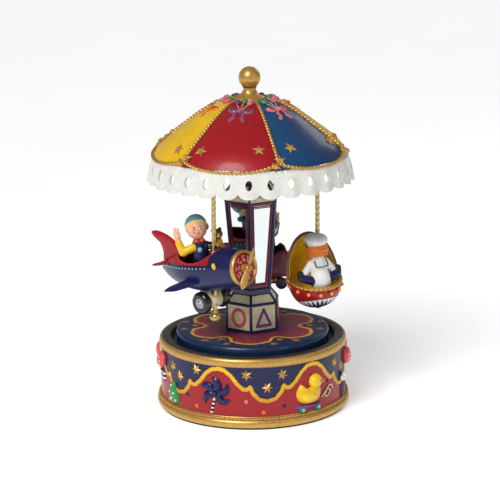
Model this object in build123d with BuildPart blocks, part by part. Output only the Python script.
"""Wind-up carousel toy: a painted drum with a musical movement, and a turntable that carries
a mirrored column, a six-gore canopy and three hanging rides.

Millimetres, +Z up. The origin is on the turntable's axis, at the underside of the base.
Angles around the axis are measured from the front (-Y) towards +X.
"""
from build123d import *
import math
import os

os.makedirs("parts", exist_ok=True)

# ---------------------------------------------------------------- driving dimensions
FIT = 0.05                      # radial running clearance of every shaft

DRUM_R = 60.0                   # painted wall of the base
DRUM_TOP = 45.6
FOOT_R = 62.8
FOOT_H = 6.4
BEAD_R = 61.2
CAVITY_R = 54.0
RIM_R = 53.5                    # inner edge of the metal-coloured rim
DECK_Z = 37.5                   # underside of the deck that closes the cavity
DECK_TOP = 41.5
FELT_H = 1.0
COVER_Z = 9.0                   # underside of the bottom cover
COVER_H = 2.5

TABLE_R = 49.7                  # turntable
TABLE_Z = 42.6
TABLE_TOP = 50.5

HEX_TURN = -3.0                 # the column's front corner stands this far round from the front
PLINTH_R = 18.6
PLINTH_TOP = 68.7
HIP_TOP = 74.9
HIP_R = 13.5
COLLAR_TOP = 78.0
SHAFT_LOW_R = 13.2
SHAFT_TOP_R = 18.2
SHAFT_TOP = 136.2
CAP_BAND_R = 18.9
CAP_BAND_TOP = 139.4
CAP_TOP = 146.0
CAP_R = 13.5
TUBE_R = 7.0
ROD_R = 1.6
ROD_TOP = 208.0
BALL_R = 7.0                    # the finial's ball
BALL_TOP = 221.2

GORE_SEAM = -43.0               # first seam of the canopy
RIM_TRIM_R = 62.4
VALANCE_TOP = 166.0
VALANCE_LOW = 149.2
VALANCE_R = 66.4
VALANCE_T = 1.5
EYELETS = 30

POLE_R = 1.4
POLE_CIRCLE = 43.0
PLANE_ANGLE = -33.0             # the poles stand at these angles
BOAT_ANGLE = 81.0
TRAIN_ANGLE = 197.0
HULL_ANGLE = -39.0              # the aeroplane's middle is behind its pole
CRADLE_ANGLE = 79.3             # the boat's middle, beside its pole
CRADLE_CIRCLE = 40.8
POLE_TOP = 174.0
POLE_BALL_R = 3.6

BARREL_R = 13.0                 # spring barrel of the musical movement
CROWN_TEETH = 48
CROWN_R = 14.6
PINION_TEETH = 16
CYL_R = 5.5
WHEEL_TEETH = 32
WHEEL_MODULE = 0.5
GOV_PINION_TEETH = 12
WORM_WHEEL_TEETH = 16
WORM_PITCH_R = 1.8
ARBOR_R = 1.0
GOV_Y = WHEEL_MODULE * (WHEEL_TEETH + GOV_PINION_TEETH) / 2
CROWN_PITCH_Z = 19.2
CYL_Z = CROWN_PITCH_Z + CROWN_R * PINION_TEETH / CROWN_TEETH
WORM_X = 30.0
WORM_Y = GOV_Y + WHEEL_MODULE * WORM_WHEEL_TEETH / 2 + WORM_PITCH_R
BED_Z = COVER_Z + COVER_H
BED_TOP = BED_Z + 2.5


# ---------------------------------------------------------------- helpers
def save(builder, label):
    """Names a finished piece and writes its STEP file."""
    builder.part.label = label
    export_step(builder.part, f"parts/{label}.step")


def around(angle, radius, z=0.0):
    """The point at an angle from the front, at a radius and a height."""
    a = math.radians(angle)
    return Vector(radius * math.sin(a), -radius * math.cos(a), z)


def ride_frame(angle, z, pitch=0.0, bank=0.0, yaw=0.0, radius=POLE_CIRCLE):
    """A ride's own frame on its pole: X ahead along the circle, Y towards the column, Z up."""
    a = math.radians(angle + yaw)
    ahead = Vector(math.cos(a), math.sin(a), 0)
    outward = Vector(math.sin(a), -math.cos(a), 0)
    p, b = math.radians(pitch), math.radians(bank)
    nose = ahead * math.cos(p) + Vector(0, 0, math.sin(p))
    up = nose.cross(outward) * -1
    up = up * math.cos(b) + outward * math.sin(b)
    return Plane(around(angle, radius, z), x_dir=nose, z_dir=up)


def side_of(frame):
    """The upright plane along a ride: x ahead, y up."""
    return Plane(frame.origin, x_dir=frame.x_dir, z_dir=frame.y_dir * -1)


def station(frame, x, y=0.0, z=0.0):
    """A plane facing ahead at a place on a ride."""
    origin = frame.from_local_coords(Vector(x, y, z))
    return Plane(origin, x_dir=frame.y_dir, z_dir=frame.x_dir)


def hexagon(radius):
    """A hexagon in the current sketch, with a corner near the front."""
    RegularPolygon(radius, 6, rotation=-90 + HEX_TURN)


def gear_sketch(teeth, module, tooth_turn, thickness=0.5):
    """A spur gear's outline: trapezoid teeth on a root disc."""
    pitch_r = teeth * module / 2
    root_r = pitch_r - 1.25 * module
    tip_r = pitch_r + 0.9 * module
    Circle(root_r)
    root_half = thickness * 0.72
    tip_half = thickness * 0.3
    with PolarLocations(0, teeth, start_angle=tooth_turn):
        Polygon(
            (root_r - 0.3, -root_half), (tip_r, -tip_half),
            (tip_r, tip_half), (root_r - 0.3, root_half),
            align=None,
        )


# ---------------------------------------------------------------- base
BOSS_R = 48.0                   # circle of the cover's screw bosses
COVER_SCREWS = 3
BOSS_START = 60.0               # from +X, clear of the bedplate


def base_drum():
    """The drum: a gold foot, a wall, a rim and the deck over the movement, cast in one."""
    with BuildPart() as drum:
        with BuildSketch(Plane.XZ):
            with BuildLine():
                Polyline((CAVITY_R, FELT_H), (FOOT_R - 1.4, FELT_H))
                RadiusArc((FOOT_R - 1.4, FELT_H), (BEAD_R, FOOT_H), -3.1)
                Polyline(
                    (BEAD_R, FOOT_H), (BEAD_R, 7.4), (DRUM_R, 7.8), (DRUM_R, DRUM_TOP),
                    (RIM_R, DRUM_TOP), (RIM_R, DECK_TOP), (0, DECK_TOP), (0, DECK_Z),
                    (CAVITY_R, DECK_Z), (CAVITY_R, FELT_H),
                )
            make_face()
        revolve(axis=Axis.Z)
        with BuildSketch(Plane.XY.offset(BED_Z)):
            with PolarLocations(BOSS_R, COVER_SCREWS, start_angle=BOSS_START):
                Circle(4)
                with Locations((4.5, 0)):
                    Rectangle(5, 6)
        extrude(amount=DECK_Z + 0.5 - BED_Z)
        with BuildSketch(Plane.XY.offset(BED_Z)):
            with PolarLocations(BOSS_R, COVER_SCREWS, start_angle=BOSS_START):
                Circle(1.25)
        extrude(amount=10, mode=Mode.SUBTRACT)
        with BuildSketch(Plane.XY.offset(DECK_Z)):
            Circle(5)
        extrude(amount=DECK_TOP - DECK_Z, mode=Mode.SUBTRACT)
    save(drum, "base_drum")


def bearing_bush():
    """The brass bush in the deck that guides the drive spindle."""
    with BuildPart() as bush:
        with BuildSketch(Plane.XY.offset(DECK_Z)):
            Circle(5)
        extrude(amount=DECK_TOP - DECK_Z)
        with BuildSketch(Plane.XY.offset(DECK_Z - 1)):
            Circle(7)
        extrude(amount=1)
        with BuildSketch(Plane.XY.offset(DECK_Z - 1)):
            Circle(3 + FIT)
        extrude(amount=6, mode=Mode.SUBTRACT)
    save(bush, "bearing_bush")


def felt_ring():
    """The felt that the foot stands on."""
    with BuildPart() as felt:
        with BuildSketch():
            Circle(FOOT_R - 1.8)
            Circle(CAVITY_R + 0.6, mode=Mode.SUBTRACT)
        extrude(amount=FELT_H)
    save(felt, "felt_ring")


def bottom_cover():
    """The board that closes the drum and carries the movement."""
    with BuildPart() as cover:
        with BuildSketch(Plane.XY.offset(COVER_Z)):
            Circle(CAVITY_R - 0.1)
        extrude(amount=COVER_H)
        with BuildSketch(Plane.XY.offset(COVER_Z)):
            Circle(3.4)
            with PolarLocations(BOSS_R, COVER_SCREWS, start_angle=BOSS_START):
                Circle(1.25)
            with Locations(*MOVEMENT_SCREWS):
                Circle(1.0)
        extrude(amount=COVER_H, mode=Mode.SUBTRACT)
    save(cover, "bottom_cover")


def screws(label, places, shank_r, head_r, head_h, length):
    """Round-headed screws that are driven up from under the cover."""
    with BuildPart() as group:
        with BuildSketch(Plane.XY.offset(COVER_Z - head_h)):
            with Locations(*places):
                Circle(head_r)
        extrude(amount=head_h)
        fillet(group.edges().group_by(Axis.Z)[0], head_h * 0.45)
        with BuildSketch(Plane.XY.offset(COVER_Z - head_h)):
            with Locations(*places):
                Rectangle(head_r * 2.2, 0.5)
        extrude(amount=0.6, mode=Mode.SUBTRACT)
        with BuildSketch(Plane.XY.offset(COVER_Z)):
            with Locations(*places):
                Circle(shank_r)
        extrude(amount=length)
    save(group, label)


# ---------------------------------------------------------------- musical movement
BED_LOW_X, BED_HIGH_X = -17.0, 45.0
BED_LOW_Y, BED_HIGH_Y = -26.0, 27.0
MOVEMENT_SCREWS = [(-12.0, -21.0), (-12.0, 22.0), (40.0, -22.0)]
COMB_SCREWS = [(21.0, -20.0), (34.0, -20.0)]
COMB_Z = CYL_Z - 0.4
COMB_T = 1.0
COMB_LOW_X, COMB_HIGH_X = 18.0, 37.0
COMB_TEETH = 18


def bedplate():
    """The die-cast plate that everything in the movement stands on."""
    with BuildPart() as plate:
        with BuildSketch(Plane.XY.offset(BED_Z)):
            with Locations(((BED_LOW_X + BED_HIGH_X) / 2, (BED_LOW_Y + BED_HIGH_Y) / 2)):
                Rectangle(BED_HIGH_X - BED_LOW_X, BED_HIGH_Y - BED_LOW_Y)
        extrude(amount=BED_TOP - BED_Z)
        fillet(plate.edges().filter_by(Axis.Z), 3)
        with BuildSketch(Plane.XY.offset(BED_Z)):
            Circle(2 + FIT)
            with Locations(*MOVEMENT_SCREWS):
                Circle(1.0)
            with Locations((WORM_X, WORM_Y)):
                Circle(0.6 + FIT)
        extrude(amount=BED_TOP - BED_Z, mode=Mode.SUBTRACT)
    save(plate, "bedplate")


def comb_parts():
    """The tuned steel comb, the pad it is screwed to, and its screws."""
    width = COMB_HIGH_X - COMB_LOW_X
    middle = (COMB_LOW_X + COMB_HIGH_X) / 2
    with BuildPart() as pad:
        with BuildSketch(Plane.XY.offset(BED_TOP)):
            with Locations((middle, -20)):
                Rectangle(width + 2, 7)
        extrude(amount=COMB_Z - BED_TOP)
        with BuildSketch(Plane.XY.offset(COMB_Z)):
            with Locations(*COMB_SCREWS):
                Circle(0.8)
        extrude(amount=-5, mode=Mode.SUBTRACT)
    save(pad, "comb_pad")

    tip_y = -(CYL_R + 0.6) - 0.25
    with BuildPart() as comb:
        with BuildSketch(Plane.XY.offset(COMB_Z)):
            with Locations((middle, (tip_y - 24) / 2)):
                Rectangle(width, 24 + tip_y)
            pitch = width / COMB_TEETH
            for i in range(1, COMB_TEETH):
                slot = 9.5 - 3.5 * i / COMB_TEETH
                with Locations((COMB_LOW_X + i * pitch, tip_y - slot / 2)):
                    Rectangle(0.28, slot, mode=Mode.SUBTRACT)
            with Locations(*COMB_SCREWS):
                Circle(0.8, mode=Mode.SUBTRACT)
        extrude(amount=COMB_T)
    save(comb, "comb")

    with BuildPart() as fixings:
        with BuildSketch(Plane.XY.offset(COMB_Z + COMB_T)):
            with Locations(*COMB_SCREWS):
                Circle(1.8)
        extrude(amount=1.2)
        with BuildSketch(Plane.XY.offset(COMB_Z + COMB_T)):
            with Locations(*COMB_SCREWS):
                Circle(0.8)
        extrude(amount=-(COMB_T + 5))
    save(fixings, "comb_screws")


def bearing_sketch(low_y, high_y, holes):
    """The outline of an upright bearing plate; holes are the (y, z) places of its arbors."""
    top = CYL_Z + 3.5
    with Locations(((low_y + high_y) / 2, (BED_TOP + top) / 2)):
        Rectangle(high_y - low_y, top - BED_TOP)
    with Locations(*holes):
        Circle(ARBOR_R + FIT, mode=Mode.SUBTRACT)


def brackets():
    """The uprights that hold the cylinder's and the governor's arbors."""
    with BuildPart() as cylinder_bracket:
        with BuildSketch(Plane.YZ.offset(16.1)):
            bearing_sketch(-3.0, 3.0, [(0, CYL_Z)])
        extrude(amount=1.1)
    save(cylinder_bracket, "cylinder_bracket")

    with BuildPart() as governor_bracket:
        with BuildSketch(Plane.YZ.offset(41.2)):
            bearing_sketch(-3.0, GOV_Y + 3.0, [(0, CYL_Z), (GOV_Y, CYL_Z)])
        extrude(amount=1.5)
        with BuildSketch(Plane.YZ.offset(23.0)):
            bearing_sketch(GOV_Y - 2.4, GOV_Y + 3.0, [(GOV_Y, CYL_Z)])
        extrude(amount=1.2)
        with BuildSketch(Plane.XY.offset(BED_TOP)):
            with Locations((WORM_X, WORM_Y + 7.6)):
                Rectangle(3, 2)
        extrude(amount=22.3)
        with BuildSketch(Plane.XY.offset(BED_TOP + 21.1)):
            with Locations((WORM_X, WORM_Y + 3.2)):
                Rectangle(3, 10.8)
            with Locations((WORM_X, WORM_Y)):
                Circle(0.6 + FIT, mode=Mode.SUBTRACT)
        extrude(amount=1.2)
    save(governor_bracket, "governor_bracket")


def spring_barrel():
    """The barrel that turns with the turntable: a case, crown teeth and the drive spindle."""
    with BuildPart() as barrel:
        with BuildSketch(Plane.XY.offset(16.6)):
            Circle(CROWN_R + 1.2)
        extrude(amount=1.9)
        with BuildSketch(Plane.XY.offset(18.5)):
            Circle(BARREL_R)
        extrude(amount=13.5)
        with BuildSketch(Plane.XY.offset(32)):
            Circle(3)
        extrude(amount=TABLE_TOP - 32)
        with BuildSketch(Plane.XY.offset(18.0)):
            Circle(BARREL_R - 1)
        extrude(amount=12.8, mode=Mode.SUBTRACT)
        with BuildSketch(Plane.XY.offset(16.6)):
            Circle(2 + FIT)
        extrude(amount=2, mode=Mode.SUBTRACT)
        with BuildSketch(Plane.XY.offset(TABLE_TOP)):
            Circle(ROD_R)
        extrude(amount=-8, mode=Mode.SUBTRACT)
        crown_half = 0.32
        with PolarLocations(0, CROWN_TEETH):
            with Locations((CROWN_R - 0.1, 0, 18.4)):
                Box(
                    2.4, 2 * crown_half, 1.35,
                    align=(Align.CENTER, Align.CENTER, Align.MIN),
                )
    save(barrel, "spring_barrel")


def mainspring():
    """The coiled mainspring inside the barrel, as a ribbon of seven turns."""
    turns = 7
    inner = 3.4
    growth = 1.05
    with BuildPart() as spring:
        with BuildSketch(Plane.XY.offset(19.5)):
            for i in range(turns):
                Circle(inner + i * growth + 0.35)
                Circle(inner + i * growth, mode=Mode.SUBTRACT)
            with Locations((inner + turns * growth / 2 - 0.1, 0)):
                Rectangle(turns * growth - 0.6, 0.5)
        extrude(amount=9.5)
    save(spring, "mainspring")


def cylinder():
    """The pinned cylinder on its arbor, with the pinion that the crown teeth drive."""
    pinion_module = 2 * CROWN_R / CROWN_TEETH
    with BuildPart() as drum:
        with BuildSketch(Plane.YZ.offset(17.6)):
            with Locations((0, CYL_Z)):
                Circle(CYL_R)
        extrude(amount=19.9)
        with BuildSketch(Plane.YZ.offset(13.6)):
            with Locations((0, CYL_Z)):
                Circle(ARBOR_R)
        extrude(amount=29.6)
        pitch = (COMB_HIGH_X - COMB_LOW_X) / COMB_TEETH
        for i in range(COMB_TEETH):
            x = COMB_LOW_X + (i + 0.5) * pitch
            with Locations(Plane((x, 0, CYL_Z), x_dir=(0, 1, 0), z_dir=(1, 0, 0))):
                with PolarLocations(CYL_R, 3, start_angle=29.0 * i + 17):
                    Box(1.2, 0.4, 0.4)
    save(drum, "cylinder")

    with BuildPart() as pinion:
        with BuildSketch(Plane((13.7, 0, CYL_Z), x_dir=(0, 1, 0), z_dir=(1, 0, 0))):
            gear_sketch(PINION_TEETH, pinion_module, 90 + 180 / PINION_TEETH, 0.62)
            Circle(ARBOR_R, mode=Mode.SUBTRACT)
        extrude(amount=2.2)
    save(pinion, "cylinder_pinion")

    with BuildPart() as wheel:
        with BuildSketch(Plane((37.7, 0, CYL_Z), x_dir=(0, 1, 0), z_dir=(1, 0, 0))):
            gear_sketch(WHEEL_TEETH, WHEEL_MODULE, 0)
            Circle(ARBOR_R, mode=Mode.SUBTRACT)
        extrude(amount=1.6)
    save(wheel, "cylinder_wheel")


def governor():
    """The governor's wheel and arbor, and the worm with its air brake."""
    with BuildPart() as wheel:
        with BuildSketch(Plane((37.5, GOV_Y, CYL_Z), x_dir=(0, 1, 0), z_dir=(1, 0, 0))):
            gear_sketch(GOV_PINION_TEETH, WHEEL_MODULE, 180 / GOV_PINION_TEETH)
        extrude(amount=2.0)
        with BuildSketch(Plane((WORM_X - 1, GOV_Y, CYL_Z), x_dir=(0, 1, 0), z_dir=(1, 0, 0))):
            gear_sketch(WORM_WHEEL_TEETH, WHEEL_MODULE, 0, 0.42)
        extrude(amount=2.0)
        with BuildSketch(Plane.YZ.offset(22.8)):
            with Locations((GOV_Y, CYL_Z)):
                Circle(ARBOR_R)
        extrude(amount=20.4)
    save(wheel, "governor_wheel")

    lead = math.pi * WHEEL_MODULE
    turns = 6
    start = CYL_Z + 0.75 * lead - 4 * lead
    with BuildPart() as fly:
        with BuildSketch(Plane.XY.offset(start - 0.6)):
            with Locations((WORM_X, WORM_Y)):
                Circle(1.2)
        extrude(amount=turns * lead + 1.2)
        with BuildSketch(Plane.XY.offset(BED_Z + 0.5)):
            with Locations((WORM_X, WORM_Y)):
                Circle(0.6)
        extrude(amount=BED_TOP + 22.0 - BED_Z - 0.5)
        path = Helix(
            lead, turns * lead, 1.15, center=(WORM_X, WORM_Y, start), mode=Mode.PRIVATE
        )
        with BuildSketch(Plane((WORM_X, WORM_Y, start), z_dir=(0, -1, 0), x_dir=(1, 0, 0))):
            with BuildLine():
                Polyline((1.05, -0.36), (2.2, -0.16), (2.2, 0.16), (1.05, 0.36), close=True)
            make_face()
        sweep(path=path, is_frenet=True)
        with BuildSketch(Plane.XZ.offset(-WORM_Y - 0.25)):
            with Locations((WORM_X, BED_TOP + 18.2)):
                Rectangle(11, 4.6)
                Rectangle(3.2, 4.7, mode=Mode.SUBTRACT)
        extrude(amount=0.5)
        with BuildSketch(Plane.XY.offset(BED_TOP + 15.9)):
            with Locations((WORM_X, WORM_Y)):
                Circle(1.8)
        extrude(amount=4.6)
    save(fly, "governor_fly")


def winding_key():
    """The arbor that winds the mainspring, and the winged key screwed on under the cover."""
    with BuildPart() as arbor:
        with BuildSketch(Plane.XY.offset(3)):
            Circle(1.5)
        extrude(amount=5)
        with BuildSketch(Plane.XY.offset(8)):
            Circle(2)
        extrude(amount=21.5)
    save(arbor, "winding_arbor")

    with BuildPart() as key:
        with BuildSketch(Plane.XY.offset(1.6)):
            Circle(3.2)
        extrude(amount=6.4)
        with BuildSketch(Plane.XZ.offset(-0.8)):
            with Locations((-7.6, 4.6), (7.6, 4.6)):
                Ellipse(5.6, 2.9)
                Ellipse(2.6, 1.2, mode=Mode.SUBTRACT)
        extrude(amount=1.6)
        with BuildSketch(Plane.XY.offset(3)):
            Circle(1.5)
        extrude(amount=5, mode=Mode.SUBTRACT)
    save(key, "winding_key")


# ---------------------------------------------------------------- turntable and column
def platform():
    """The round turntable with a soft edge and a sunken seat for its hub."""
    with BuildPart() as table:
        with BuildSketch(Plane.XY.offset(TABLE_Z)):
            Circle(TABLE_R)
        extrude(amount=TABLE_TOP - TABLE_Z)
        fillet(table.edges().group_by(Axis.Z)[-1], 2.4)
        fillet(table.edges().group_by(Axis.Z)[0], 1.0)
        with BuildSketch(Plane.XY.offset(TABLE_Z)):
            Circle(9)
        extrude(amount=3, mode=Mode.SUBTRACT)
        with BuildSketch(Plane.XY.offset(TABLE_Z)):
            Circle(3)
        extrude(amount=TABLE_TOP - TABLE_Z, mode=Mode.SUBTRACT)
    save(table, "platform")


def drive_hub():
    """The metal hub that ties the platform to the spindle."""
    with BuildPart() as hub:
        with BuildSketch(Plane.XY.offset(TABLE_Z)):
            Circle(9)
            Circle(3, mode=Mode.SUBTRACT)
            with PolarLocations(6, 3):
                Circle(0.9, mode=Mode.SUBTRACT)
        extrude(amount=3)
    save(hub, "drive_hub")


def column():
    """The hexagonal column, as a plinth, collar, tapered shaft and cap on one tie rod."""
    with BuildPart() as plinth:
        with BuildSketch(Plane.XY.offset(TABLE_TOP)):
            hexagon(PLINTH_R)
        extrude(amount=PLINTH_TOP - TABLE_TOP)
        with BuildSketch(Plane.XY.offset(PLINTH_TOP)):
            hexagon(PLINTH_R)
        with BuildSketch(Plane.XY.offset(HIP_TOP)):
            hexagon(HIP_R)
        loft()
        with BuildSketch(Plane.XY.offset(TABLE_TOP)):
            Circle(ROD_R)
        extrude(amount=HIP_TOP - TABLE_TOP, mode=Mode.SUBTRACT)
    save(plinth, "plinth_block")

    with BuildPart() as collar:
        with BuildSketch(Plane.XY.offset(HIP_TOP)):
            hexagon(HIP_R + 0.6)
            Circle(ROD_R, mode=Mode.SUBTRACT)
        extrude(amount=COLLAR_TOP - HIP_TOP)
    save(collar, "column_collar")

    with BuildPart() as shaft:
        with BuildSketch(Plane.XY.offset(COLLAR_TOP)):
            hexagon(SHAFT_LOW_R)
        with BuildSketch(Plane.XY.offset(SHAFT_TOP)):
            hexagon(SHAFT_TOP_R)
        loft()
        for i in range(6):
            with BuildSketch(mirror_plane(i)):
                mirror_outline()
            extrude(amount=-MIRROR_T, mode=Mode.SUBTRACT)
        with BuildSketch(Plane.XY.offset(COLLAR_TOP)):
            Circle(ROD_R)
        extrude(amount=SHAFT_TOP - COLLAR_TOP, mode=Mode.SUBTRACT)
    save(shaft, "column_shaft")

    with BuildPart() as mirrors:
        for i in range(6):
            with BuildSketch(mirror_plane(i)):
                mirror_outline()
            extrude(amount=-MIRROR_T)
    save(mirrors, "mirror_panels")

    with BuildPart() as cap:
        with BuildSketch(Plane.XY.offset(SHAFT_TOP)):
            hexagon(CAP_BAND_R)
        extrude(amount=CAP_BAND_TOP - SHAFT_TOP)
        with BuildSketch(Plane.XY.offset(CAP_BAND_TOP)):
            hexagon(CAP_BAND_R - 0.5)
        with BuildSketch(Plane.XY.offset(CAP_TOP)):
            hexagon(CAP_R)
        loft()
        with BuildSketch(Plane.XY.offset(SHAFT_TOP)):
            Circle(ROD_R)
        extrude(amount=CAP_TOP - SHAFT_TOP, mode=Mode.SUBTRACT)
    save(cap, "column_cap")

    with BuildPart() as tube:
        with BuildSketch(Plane.XY.offset(CAP_TOP)):
            Circle(TUBE_R)
            Circle(ROD_R, mode=Mode.SUBTRACT)
        extrude(amount=HUB_Z - CAP_TOP)
    save(tube, "canopy_post")

    with BuildPart() as rod:
        with BuildSketch(Plane.XY.offset(TABLE_TOP - 8)):
            Circle(ROD_R)
        extrude(amount=ROD_TOP - TABLE_TOP + 8)
    save(rod, "tie_rod")


MIRROR_T = 0.9
MIRROR_LOW = 3.6                # from the shaft's lower edge to the mirror, along the face
MIRROR_HIGH = 2.4


def mirror_plane(i):
    """The sloping plane of one face of the shaft, with y running up the face."""
    low = SHAFT_LOW_R * math.cos(math.radians(30))
    high = SHAFT_TOP_R * math.cos(math.radians(30))
    angle = HEX_TURN + 30 + 60 * i
    foot = around(angle, low, COLLAR_TOP)
    up = (around(angle, high, SHAFT_TOP) - foot).normalized()
    across = Vector(math.cos(math.radians(angle)), math.sin(math.radians(angle)), 0)
    return Plane(foot, x_dir=across, z_dir=across.cross(up))


def mirror_outline():
    """The tapered outline of one mirror."""
    length = math.hypot(SHAFT_TOP - COLLAR_TOP, (SHAFT_TOP_R - SHAFT_LOW_R) * 0.866)
    low_half = SHAFT_LOW_R / 2 - 2.9
    top_half = SHAFT_TOP_R / 2 - 3.3
    Polygon(
        (-low_half, MIRROR_LOW), (low_half, MIRROR_LOW),
        (top_half, length - MIRROR_HIGH), (-top_half, length - MIRROR_HIGH),
        align=None,
    )


# ---------------------------------------------------------------- canopy
HUB_Z = 188.0
CROWN_POINTS = [(20, 198.2), (31, 191.8), (41, 184.6), (50.7, 177.2), (57.5, 171.4)]
EDGE = (61.7, 166.0)
SHELL_T = 2.6


def canopy():
    """The domed roof shell, with a hub over the post and a socket for each pole."""
    with BuildPart() as roof:
        with BuildSketch(Plane.XZ):
            with BuildLine():
                Line((0, 200.4), (6, 200.4))
                Spline((6, 200.4), *CROWN_POINTS, EDGE, tangents=((1, 0), (0.45, -0.9)))
                Line(EDGE, (EDGE[0] - SHELL_T, EDGE[1]))
                Spline(
                    (EDGE[0] - SHELL_T, EDGE[1]),
                    *[(r - 1.5, z - SHELL_T) for r, z in reversed(CROWN_POINTS)],
                    (6, 200.4 - SHELL_T),
                    tangents=((-0.45, 0.9), (-1, 0)),
                )
                Polyline((6, 200.4 - SHELL_T), (0, 200.4 - SHELL_T), (0, 200.4))
            make_face()
        revolve(axis=Axis.Z)
        with BuildSketch(Plane.XY.offset(HUB_Z)):
            Circle(11)
        extrude(amount=11)
        for angle in (PLANE_ANGLE, BOAT_ANGLE, TRAIN_ANGLE):
            with BuildSketch(Plane(around(angle, POLE_CIRCLE, POLE_TOP - 5))):
                Circle(3.6)
            extrude(amount=9)
            with BuildSketch(Plane(around(angle, POLE_CIRCLE, POLE_TOP - 5))):
                Circle(POLE_R)
            extrude(amount=5, mode=Mode.SUBTRACT)
        with BuildSketch(Plane.XY.offset(HUB_Z)):
            Circle(ROD_R)
        extrude(amount=14, mode=Mode.SUBTRACT)
    save(roof, "canopy")
    return roof.part


def valance(roof):
    """The flared white skirt with scallops and a row of oval eyelets, and its rope trim."""
    inner_top = RIM_TRIM_R - VALANCE_T
    step = 360 / EYELETS
    flare = Vector(VALANCE_R - RIM_TRIM_R, 0, VALANCE_LOW - VALANCE_TOP).normalized()
    with BuildPart() as skirt:
        with BuildSketch(Plane.XZ):
            with BuildLine():
                Polyline(
                    (inner_top, VALANCE_TOP - 1.2), (RIM_TRIM_R, VALANCE_TOP - 1.2),
                    (VALANCE_R, VALANCE_LOW), (VALANCE_R - VALANCE_T, VALANCE_LOW), close=True,
                )
            make_face()
        revolve(axis=Axis.Z)
        holes = []
        nicks = []
        for i in range(EYELETS):
            angle = GORE_SEAM + step * (i + 0.5)
            out = around(angle, 1)
            tilt = (out * abs(flare.Z) + Vector(0, 0, flare.X)).normalized()
            side = Vector(0, 0, 1).cross(out)
            holes.append(Plane(around(angle, 61, 157.5), x_dir=side, z_dir=tilt))
            edge = around(angle + step / 2, 62, VALANCE_LOW - 0.6)
            sideways = around(angle + step / 2 + 90, 1)
            nicks.append(Plane(edge, x_dir=sideways, z_dir=around(angle + step / 2, 1)))
        with BuildSketch(*holes):
            SlotOverall(6.5, 4.2, rotation=90)
        extrude(amount=9, mode=Mode.SUBTRACT)
        with BuildSketch(*nicks):
            RegularPolygon(2.4, 3, rotation=90)
        extrude(amount=9, mode=Mode.SUBTRACT)
    save(skirt, "valance")

    with BuildPart() as rope:
        with BuildSketch(Plane.XZ):
            with Locations((RIM_TRIM_R + 0.55, VALANCE_TOP + 0.4)):
                Circle(1.55)
        revolve(axis=Axis.Z)
        add(roof, mode=Mode.SUBTRACT)
        add(skirt.part, mode=Mode.SUBTRACT)
    save(rope, "rope_trim")


def finial():
    """The turned gold finial that screws down on the tie rod."""
    with BuildPart() as knob:
        with BuildSketch(Plane.XZ):
            with BuildLine():
                Polyline((0, 200.4), (9.6, 200.4), (9.2, 201.0))
                ThreePointArc((9.2, 201.0), (8.0, 202.3), (6.0, 202.6))
                Polyline((6.0, 202.6), (4.4, 203.3))
                ThreePointArc((4.4, 203.3), (5.2, 204.3), (4.4, 205.3))
                Polyline((4.4, 205.3), (4.0, 206.6), (4.4, 209.4), (0, 209.4), (0, 200.4))
            make_face()
        revolve(axis=Axis.Z)
        with Locations((0, 0, BALL_TOP - BALL_R)):
            Sphere(BALL_R)
        with BuildSketch(Plane.XY.offset(200.4)):
            Circle(ROD_R)
        extrude(amount=ROD_TOP - 200.4, mode=Mode.SUBTRACT)
    save(knob, "finial")


# ---------------------------------------------------------------- rides
AIRCRAFT = ride_frame(HULL_ANGLE, 98.6, pitch=9, bank=4, yaw=-4)
BOAT = ride_frame(CRADLE_ANGLE, 86.0, pitch=-12, bank=-4, yaw=29.7, radius=CRADLE_CIRCLE)
TRAIN = ride_frame(TRAIN_ANGLE, 84.0)
BALL_Z = {PLANE_ANGLE: 66.8, BOAT_ANGLE: 67.5, TRAIN_ANGLE: 61.5}


def pole(angle, label):
    """A brass rod from the canopy down through its ride, with a ball at its foot."""
    ball_z = BALL_Z[angle]
    with BuildPart() as rod:
        with BuildSketch(Plane(around(angle, POLE_CIRCLE, ball_z))):
            Circle(POLE_R)
        extrude(amount=POLE_TOP - ball_z)
        with Locations(around(angle, POLE_CIRCLE, ball_z)):
            Sphere(POLE_BALL_R)
    save(rod, label)
    return rod.part


def fitted(piece, label, *neighbours):
    """Cuts its neighbours' shapes out of a piece, writes it and returns it."""
    with BuildPart() as result:
        add(piece.part)
        for neighbour in neighbours:
            add(neighbour, mode=Mode.SUBTRACT)
    save(result, label)
    return result.part


def limb(start, end, r_start, r_end):
    """A tapered limb between two places on a ride, with round ends."""
    a, b = Vector(*start), Vector(*end)
    with Locations(Plane(a, z_dir=b - a)):
        Cone(r_start, r_end, (b - a).length, align=(Align.CENTER, Align.CENTER, Align.MIN))
    with Locations(a):
        Sphere(r_start)
    with Locations(b):
        Sphere(r_end)


def level_of(frame, x, y, z):
    """A plane square to a ride's own upright, at a place on the ride."""
    origin = frame.from_local_coords(Vector(x, y, z))
    return Plane(origin, x_dir=frame.x_dir, z_dir=frame.z_dir)


# aeroplane: stations along its own length, measured from the pole
TAIL_X = -40.0
COWL_X = 20.0
COWL_R = 12.6
FACE_X = 30.0
FACE_R = 10.6
PROP_X = 33.2
PROP_TURN = 52.0
PIN_R = 0.8
AXLE_X = -2.8
AXLE_Z = -20.8
AXLE_R = 1.0
WHEEL_R = 7.3
WHEEL_Y = 8.6
WHEEL_W = 5.8
TAILPLANE_Z = 3.6


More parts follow.
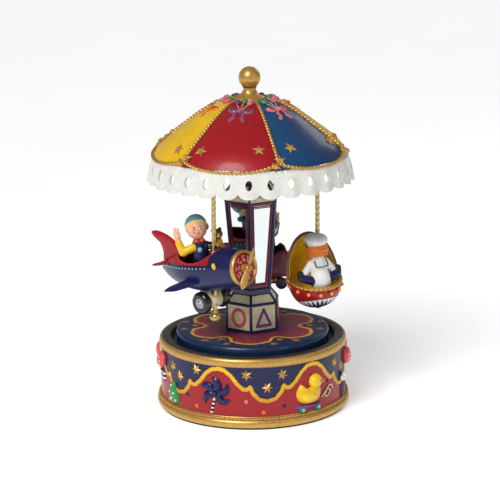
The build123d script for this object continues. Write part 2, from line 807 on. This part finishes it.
def plane_body():
    """The spindle shape of the whole fuselage, from its tail to the back of the cowl."""
    with BuildPart() as body:
        with BuildSketch(side_of(AIRCRAFT)):
            with BuildLine():
                Line((TAIL_X, 0), (TAIL_X, 1.6))
                Spline(
                    (TAIL_X, 1.6), (-30, 7.6), (-16, 12.8), (-2, 14.5), (10, 13.9), (COWL_X, COWL_R),
                    tangents=((1, 0.6), (1, -0.13)),
                )
                Polyline((COWL_X, COWL_R), (COWL_X, 0), (TAIL_X, 0))
            make_face()
        revolve(axis=Axis(AIRCRAFT.origin, AIRCRAFT.x_dir))
    return body.part


def plane_shell(body, rod, pilot, bear):
    """The hull with its cockpit, and the cowl that closes its front."""
    with BuildPart(AIRCRAFT) as cockpit:
        with Locations((-3.5, 0, 35.6)):
            Cylinder(30, 40, rotation=(90, 0, 0))
        with Locations((-4.5, 0, 6)):
            Cylinder(7.2, 12)
    with BuildPart() as hull:
        add(body)
        add(cockpit.part, mode=Mode.SUBTRACT)
    fitted(hull, "plane_hull", rod, pilot, bear)

    with BuildPart() as cowl:
        with BuildSketch(side_of(AIRCRAFT)):
            with BuildLine():
                Polyline((COWL_X, 0), (COWL_X, COWL_R))
                Spline(
                    (COWL_X, COWL_R), (26, 11.8), (FACE_X, FACE_R + 0.3),
                    tangents=((1, -0.05), (1, -0.2)),
                )
                Polyline((FACE_X, FACE_R + 0.3), (FACE_X, 0), (COWL_X, 0))
            make_face()
        revolve(axis=Axis(AIRCRAFT.origin, AIRCRAFT.x_dir))
    fitted(cowl, "plane_cowl", bear)


def plane_wings(body, rod):
    """The short wings: swept back, tapered, and drooping a little on the outer side."""
    with BuildPart() as wings:
        for way, span, droop in ((1, 9.5, 0.0), (-1, 18.5, -3.2)):
            outward = AIRCRAFT.y_dir * way
            root = AIRCRAFT.from_local_coords(Vector(-2, 8 * way, -5.5))
            tip = AIRCRAFT.from_local_coords(Vector(-12, (8 + span) * way, -5.5 + droop))
            with BuildSketch(Plane(root, x_dir=AIRCRAFT.x_dir, z_dir=outward)) as root_section:
                Ellipse(9.0, 1.9)
            with BuildSketch(Plane(tip, x_dir=AIRCRAFT.x_dir, z_dir=outward)) as tip_section:
                Ellipse(5.2, 0.8)
            loft([root_section.sketch, tip_section.sketch])
    fitted(wings, "plane_wings", body, rod)


def plane_tail(body, pilot):
    """The upright fin and the level tailplane."""
    with BuildPart() as tail:
        with BuildSketch(side_of(AIRCRAFT).offset(-1.1)):
            Polygon(
                (-21, 5), (-27, 16), (-36, 22.5), (-45, 24), (-46, 21.8), (-40.5, 16.5), (-38, 9),
                (-39, 1), align=None,
            )
        extrude(amount=2.2)
        with BuildSketch(level_of(AIRCRAFT, 0, 0, TAILPLANE_Z)):
            Polygon(
                (-25, 0), (-28, 5), (-34, 12), (-38, 12), (-38, 3), (-38, -3),
                (-38, -12), (-34, -12), (-28, -5), align=None,
            )
        extrude(amount=1.8)
    fitted(tail, "plane_tail", body, pilot)


def engine_and_propeller():
    """The round engine face, the pin in its middle and the propeller that spins on the pin."""
    with BuildPart() as face:
        with BuildSketch(station(AIRCRAFT, FACE_X)):
            Circle(FACE_R)
        extrude(amount=2.0)
        with BuildSketch(station(AIRCRAFT, FACE_X + 0.5)):
            Circle(7.6)
        extrude(amount=2.0, mode=Mode.SUBTRACT)
        with BuildSketch(station(AIRCRAFT, FACE_X + 0.5)):
            with PolarLocations(4.9, 9):
                Circle(1.35)
            Circle(2.6)
        extrude(amount=1.2)
        with BuildSketch(station(AIRCRAFT, FACE_X)):
            Circle(PIN_R)
        extrude(amount=3, mode=Mode.SUBTRACT)
    save(face, "engine_face")

    with BuildPart() as pin:
        with BuildSketch(station(AIRCRAFT, FACE_X)):
            Circle(PIN_R)
        extrude(amount=6.3)
        with BuildSketch(station(AIRCRAFT, FACE_X + 6.3)):
            Circle(1.3)
        extrude(amount=0.9)
    save(pin, "propeller_pin")

    turn = math.radians(PROP_TURN)
    blade_dir = AIRCRAFT.y_dir * math.cos(turn) + AIRCRAFT.z_dir * math.sin(turn)
    disc = Plane(station(AIRCRAFT, PROP_X).origin, x_dir=blade_dir, z_dir=AIRCRAFT.x_dir)
    with BuildPart() as propeller:
        with BuildSketch(disc):
            Circle(2.4)
        extrude(amount=2.7)
        with BuildSketch(disc.offset(0.9)):
            with Locations((7.4, 0), (-7.4, 0)):
                Ellipse(6.4, 1.9)
        extrude(amount=0.9)
        with BuildSketch(disc):
            Circle(PIN_R + FIT)
        extrude(amount=3, mode=Mode.SUBTRACT)
    save(propeller, "propeller")


def landing_gear(body, rod):
    """The drum fairing under the hull, and the axle with its two tyred wheels."""
    middle = AIRCRAFT.from_local_coords(Vector(AXLE_X, 0, AXLE_Z))
    across = Plane(middle, x_dir=AIRCRAFT.x_dir, z_dir=AIRCRAFT.y_dir * -1)
    with BuildPart() as fairing:
        with BuildSketch(across.offset(-5.2)):
            Circle(5.6)
        extrude(amount=10.4)
        with BuildSketch(across.offset(-2.5)):
            with Locations((0, 5.0)):
                Rectangle(5, 9)
        extrude(amount=5)
        with BuildSketch(across.offset(-5.2)):
            Circle(AXLE_R + FIT)
        extrude(amount=10.4, mode=Mode.SUBTRACT)
    fitted(fairing, "axle_fairing", body, rod)

    with BuildPart() as tyres:
        for way in (1, -1):
            with BuildSketch(across.offset(way * WHEEL_Y)):
                Circle(WHEEL_R)
                Circle(3.4, mode=Mode.SUBTRACT)
            extrude(amount=WHEEL_W / 2, both=True)
        treads = tyres.edges().filter_by(GeomType.CIRCLE).filter_by(lambda e: e.radius > 5)
        fillet(treads, 2.2)
    save(tyres, "plane_tyres")

    with BuildPart() as axle:
        for way in (1, -1):
            with BuildSketch(across.offset(way * WHEEL_Y)):
                Circle(3.4)
            extrude(amount=WHEEL_W / 2 - 0.4, both=True)
        with BuildSketch(across):
            Circle(AXLE_R)
        extrude(amount=WHEEL_Y, both=True)
    save(axle, "plane_axle")


def pilot_doll(rod):
    """The child who flies the aeroplane, one arm raised."""
    with BuildPart(AIRCRAFT) as doll:
        with Locations((-4.5, 0, 9.5)):
            Cylinder(5.6, 19)
        with Locations((-4.5, 0, 25.6)):
            Sphere(7.6)
        limb((-5.5, -5, 15), (-11, -9.5, 12), 2.6, 2.3)
        limb((-11, -9.5, 12), (-13.5, -9.5, 25.5), 2.3, 1.9)
        limb((-3, 5, 14), (2.2, 4.4, 14.6), 2.4, 1.8)
    return fitted(doll, "pilot_doll", rod)


def bear_doll(rod, pilot):
    """The small toy bear that rides beside the pilot."""
    with BuildPart(AIRCRAFT) as bear:
        with Locations((6.3, 6.5, 13.5)):
            Cylinder(2.8, 9)
        with Locations((6.3, 6.5, 20.3)):
            Sphere(3.6)
    return fitted(bear, "bear_doll", rod, pilot)


# cradle boat
BOAT_LENGTH = 19.0
BOAT_WIDTH = 17.6
BOAT_DEPTH = 19.0
BOAT_WALL = 2.0
BOAT_RIM_Z = -1.5
RIM_DIP = 0.40                  # the open end's lip is lower
HOOD_HEIGHT = 30.0
HOOD_EDGE = 2.4                 # the hood covers the boat ahead of this, just clear of the rod


def bowl_levels(length, width, depth, z):
    """The ellipses of a bowl, from its rim down to its small keel."""
    levels = []
    for share, drop in ((1.0, 0.0), (0.93, 0.38), (0.66, 0.78), (0.28, 1.0)):
        with BuildSketch(level_of(BOAT, 0, 0, z - drop * depth)) as level:
            Ellipse(length * share, width * share)
        levels.append(level.sketch)
    return levels


def boat(rod):
    """The cradle boat: a hull, a tall hood over its front half, and the sailor child."""
    with BuildPart(BOAT) as doll:
        with Locations((-8, -1, 1.5)):
            Cylinder(5.6, 23)
        with Locations((-9.3, -1, 17)):
            Sphere(6.5)
        with Locations((-9.8, -1, 22.8)):
            Cylinder(7.0, 4.8)
        limb((-8, 4.5, 6), (-4, 9, 0), 2.3, 1.9)
        limb((-8, -6.5, 6), (-4, -11, 0), 2.3, 1.9)
    sailor = fitted(doll, "sailor_doll", rod)

    dip = (BOAT.z_dir - BOAT.x_dir * RIM_DIP).normalized()
    outer = bowl_levels(BOAT_LENGTH, BOAT_WIDTH, BOAT_DEPTH, BOAT_RIM_Z)
    inner = bowl_levels(
        BOAT_LENGTH - BOAT_WALL, BOAT_WIDTH - BOAT_WALL, BOAT_DEPTH - 8, BOAT_RIM_Z + 0.1
    )
    with BuildPart() as bowl:
        loft(outer)
        loft(inner, mode=Mode.SUBTRACT)
        split(bisect_by=Plane(BOAT.from_local_coords(Vector(0, 0, BOAT_RIM_Z)), z_dir=dip), keep=Keep.BOTTOM)
    fitted(bowl, "boat_hull", rod, sailor)

    with BuildPart() as dome:
        with BuildSketch(station(BOAT, 0, 0, BOAT_RIM_Z)):
            Ellipse(BOAT_WIDTH, HOOD_HEIGHT)
            Ellipse(BOAT_WIDTH - BOAT_WALL, HOOD_HEIGHT - BOAT_WALL, mode=Mode.SUBTRACT)
            Rectangle(BOAT_WIDTH, HOOD_HEIGHT, align=(Align.MIN, Align.MIN), mode=Mode.INTERSECT)
        revolve(axis=Axis(BOAT.origin, BOAT.z_dir * -1), revolution_arc=180)
        split(bisect_by=Plane(BOAT.from_local_coords(Vector(HOOD_EDGE, 0, 0)), z_dir=BOAT.x_dir))
    fitted(dome, "boat_hood", rod, sailor)


# locomotive: stations measured from the pole, which goes through the boiler
LOCO_WHEELS = (-31.0, -19.0, -7.0, 3.0)


def train(rod):
    """The toy locomotive on the rear pole: chassis, wheels, boiler, cab and driver."""
    with BuildPart(TRAIN) as doll:
        with Locations((-25, 0, 4.5)):
            Cylinder(5.2, 21)
        with Locations((-25, 0, 21)):
            Sphere(6.6)
        limb((-26, -5, 12), (-32, -8, 17), 2.3, 2.0)
        limb((-32, -8, 17), (-33.5, -8, 27), 2.0, 1.7)
        limb((-24, 5, 12), (-16.5, 5, 9), 2.3, 1.8)
    driver = fitted(doll, "driver_doll", rod)

    with BuildPart(TRAIN) as frame_bar:
        with Locations((-14, 0, -14)):
            Box(44, 17, 4)
    fitted(frame_bar, "train_chassis", rod)

    with BuildPart() as wheels:
        for x in LOCO_WHEELS:
            for way in (1, -1):
                origin = TRAIN.from_local_coords(Vector(x, way * 8.5, -16.2))
                with BuildSketch(Plane(origin, x_dir=TRAIN.x_dir, z_dir=TRAIN.y_dir * way)):
                    Circle(4.0)
                extrude(amount=1.8)
    save(wheels, "train_wheels")

    with BuildPart() as barrel:
        with BuildSketch(station(TRAIN, -14, 0, -4)):
            Circle(8)
        extrude(amount=21)
        with BuildSketch(level_of(TRAIN, 4.0, 0, 0)):
            Circle(2.0)
        with BuildSketch(level_of(TRAIN, 4.0, 0, 12)):
            Circle(3.2)
        loft()
        with BuildSketch(level_of(TRAIN, -7.5, 0, 0)):
            Circle(2.6)
        extrude(amount=7.5)
    boiler = fitted(barrel, "train_boiler", rod, driver)

    with BuildPart(TRAIN) as body:
        with Locations((-25, 0, -3)):
            Box(22, 18, 18)
        with Locations((-25, 0, 1.5)):
            Box(18, 14, 23, mode=Mode.SUBTRACT)
    fitted(body, "train_cab", rod, driver, boiler)


# ---------------------------------------------------------------- build everything
def screw_circle():
    """The places of the cover's screws."""
    places = []
    for i in range(COVER_SCREWS):
        a = math.radians(BOSS_START + 360 / COVER_SCREWS * i)
        places.append((BOSS_R * math.cos(a), BOSS_R * math.sin(a)))
    return places


base_drum()
bearing_bush()
felt_ring()
bottom_cover()
screws("cover_screws", screw_circle(), 1.25, 2.6, 1.6, COVER_H + 9)
screws("movement_screws", MOVEMENT_SCREWS, 1.0, 2.0, 1.4, COVER_H + 2.5)
bedplate()
comb_parts()
brackets()
spring_barrel()
mainspring()
cylinder()
governor()
winding_key()
platform()
drive_hub()
column()
valance(canopy())
finial()
plane_rod = pole(PLANE_ANGLE, "pole_plane")
pilot_part = pilot_doll(plane_rod)
bear_part = bear_doll(plane_rod, pilot_part)
fuselage = plane_body()
plane_shell(fuselage, plane_rod, pilot_part, bear_part)
plane_wings(fuselage, plane_rod)
plane_tail(fuselage, pilot_part)
engine_and_propeller()
landing_gear(fuselage, plane_rod)
boat(pole(BOAT_ANGLE, "pole_boat"))
train(pole(TRAIN_ANGLE, "pole_train"))
